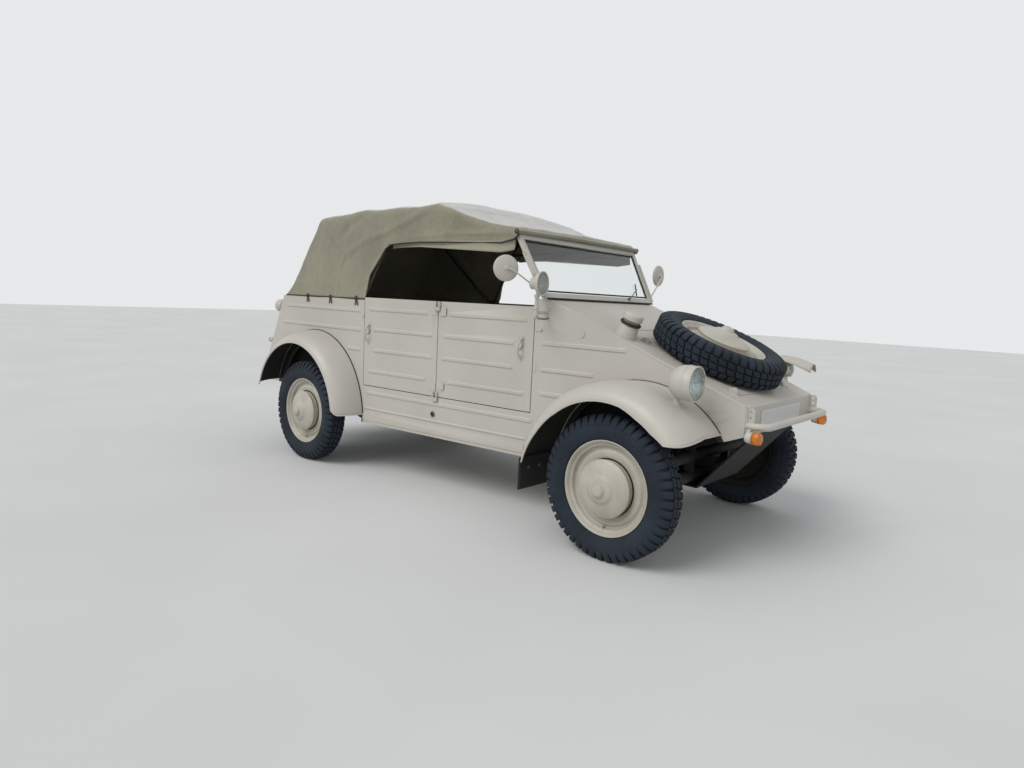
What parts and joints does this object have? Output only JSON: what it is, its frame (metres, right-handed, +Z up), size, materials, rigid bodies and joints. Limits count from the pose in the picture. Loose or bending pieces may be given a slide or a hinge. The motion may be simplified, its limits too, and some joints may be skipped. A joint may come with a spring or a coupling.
{
  "type": "light open military car",
  "caption": "Light open military car with rear engine, boxy ribbed body, folding canvas top, steered front wheels, and spare wheel on the sloping front lid.",
  "frame": {"origin": "on the ground, under the middle of the car's overall length and width", "axes": "+X forward along the car, +Y to its left, +Z up"},
  "size_m": [3.742, 1.6, 1.663],
  "materials": {
    "body_paint": "matte sand-beige paint",
    "canvas": "woven cotton canvas",
    "glass": "clear",
    "tyre": "dusty black rubber",
    "rubber": "matte black",
    "signal": "amber lenses on steel bases",
    "seat_cloth": "coarse cloth",
    "tube_paint": "matte paint on steel tube",
    "black_plastic": "black",
    "underbody": "dusty dark castings and plate",
    "steel": "heat-stained steel"
  },
  "bodies": {
    "body": {"bench_base": "tube_paint", "canvas_top": "canvas", "dashboard": "body_paint", "engine_block": "underbody", "exhaust": "steel", "floor_pan": "body_paint", "front_axle": "underbody", "front_box": "body_paint", "front_bumper": "body_paint", "front_fenders": "body_paint", "front_lamps": "body_paint", "front_seats": "seat_cloth", "fuel_filler": "body_paint", "hood": "body_paint", "lamp_glass": "glass", "mirrors": "body_paint", "mudflaps": "rubber", "nose_panel": "body_paint", "number_plate": "body_paint", "rear_axle": "underbody", "rear_bumper": "body_paint", "rear_fenders": "body_paint", "rear_seat": "seat_cloth", "rear_tub": "body_paint", "searchlight": "body_paint", "seat_frames": "tube_paint", "side_left": "body_paint", "side_right": "body_paint", "signal_lamps": "signal", "skid_plate": "underbody", "steering_column": "tube_paint", "tail_panel": "body_paint", "top_frame": "tube_paint", "windscreen_frame": "body_paint", "windscreen_glass": "glass"},
    "door_front_left": {"door_front_left": "body_paint"},
    "door_front_right": {"door_front_right": "body_paint"},
    "door_rear_left": {"door_rear_left": "body_paint"},
    "door_rear_right": {"door_rear_right": "body_paint"},
    "luggage_lid": {"luggage_lid": "body_paint", "spare_wheel": "body_paint", "spare_tyre": "tyre"},
    "engine_lid": {"engine_lid": "body_paint"},
    "knuckle_left": {"knuckle_left": "underbody"},
    "knuckle_right": {"knuckle_right": "underbody"},
    "wheel_fl": {"wheel_fl": "body_paint", "tyre_fl": "tyre"},
    "wheel_fr": {"wheel_fr": "body_paint", "tyre_fr": "tyre"},
    "wheel_rl": {"wheel_rl": "body_paint", "tyre_rl": "tyre"},
    "wheel_rr": {"wheel_rr": "body_paint", "tyre_rr": "tyre"},
    "steering_wheel": {"steering_wheel": "black_plastic"}
  },
  "joints": [
    {"name": "steer_left", "type": "hinge", "parent": "body", "child": "knuckle_left", "pos_m": [1.305, 0.6, 0.328], "axis": [0, 0, 1], "range_deg": [-28, 28]},
    {"name": "steer_right", "type": "hinge", "parent": "body", "child": "knuckle_right", "pos_m": [1.305, -0.6, 0.328], "axis": [0, 0, 1], "range_deg": [-28, 28]},
    {"name": "roll_fl", "type": "hinge", "parent": "knuckle_left", "child": "wheel_fl", "pos_m": [1.305, 0.678, 0.328], "axis": [0, 1, 0], "continuous": true},
    {"name": "roll_fr", "type": "hinge", "parent": "knuckle_right", "child": "wheel_fr", "pos_m": [1.305, -0.678, 0.328], "axis": [0, 1, 0], "continuous": true},
    {"name": "roll_rl", "type": "hinge", "parent": "body", "child": "wheel_rl", "pos_m": [-1.095, 0.678, 0.328], "axis": [0, 1, 0], "continuous": true},
    {"name": "roll_rr", "type": "hinge", "parent": "body", "child": "wheel_rr", "pos_m": [-1.095, -0.678, 0.328], "axis": [0, 1, 0], "continuous": true},
    {"name": "steering", "type": "hinge", "parent": "body", "child": "steering_wheel", "pos_m": [0.385, 0.282, 0.968], "axis": [-0.8551, 0, 0.5185], "range_deg": [-392, 392]},
    {"name": "door_front_left_hinge", "type": "hinge", "parent": "body", "child": "door_front_left", "pos_m": [0.029, 0.56944, 0.8255], "axis": [0, 0, 1], "range_deg": [0, 75]},
    {"name": "door_front_right_hinge", "type": "hinge", "parent": "body", "child": "door_front_right", "pos_m": [0.029, -0.56944, 0.8255], "axis": [0, 0, -1], "range_deg": [0, 75]},
    {"name": "door_rear_left_hinge", "type": "hinge", "parent": "body", "child": "door_rear_left", "pos_m": [0.001, 0.57187, 0.8255], "axis": [0, 0, -1], "range_deg": [0, 75]},
    {"name": "door_rear_right_hinge", "type": "hinge", "parent": "body", "child": "door_rear_right", "pos_m": [0.001, -0.57187, 0.8255], "axis": [0, 0, 1], "range_deg": [0, 75]},
    {"name": "luggage_lid_hinge", "type": "hinge", "parent": "body", "child": "luggage_lid", "pos_m": [1.08127, 0, 1.0131], "axis": [0, -1, 0], "range_deg": [0, 50]},
    {"name": "engine_lid_hinge", "type": "hinge", "parent": "body", "child": "engine_lid", "pos_m": [-1.72349, 0, 0.80493], "axis": [0, 1, 0], "range_deg": [0, 60]}
  ],
  "couplings": [
    {"joint": "steer_right", "follows": "steer_left", "ratio": 1},
    {"joint": "steering", "follows": "steer_left", "ratio": 14}
  ]
}
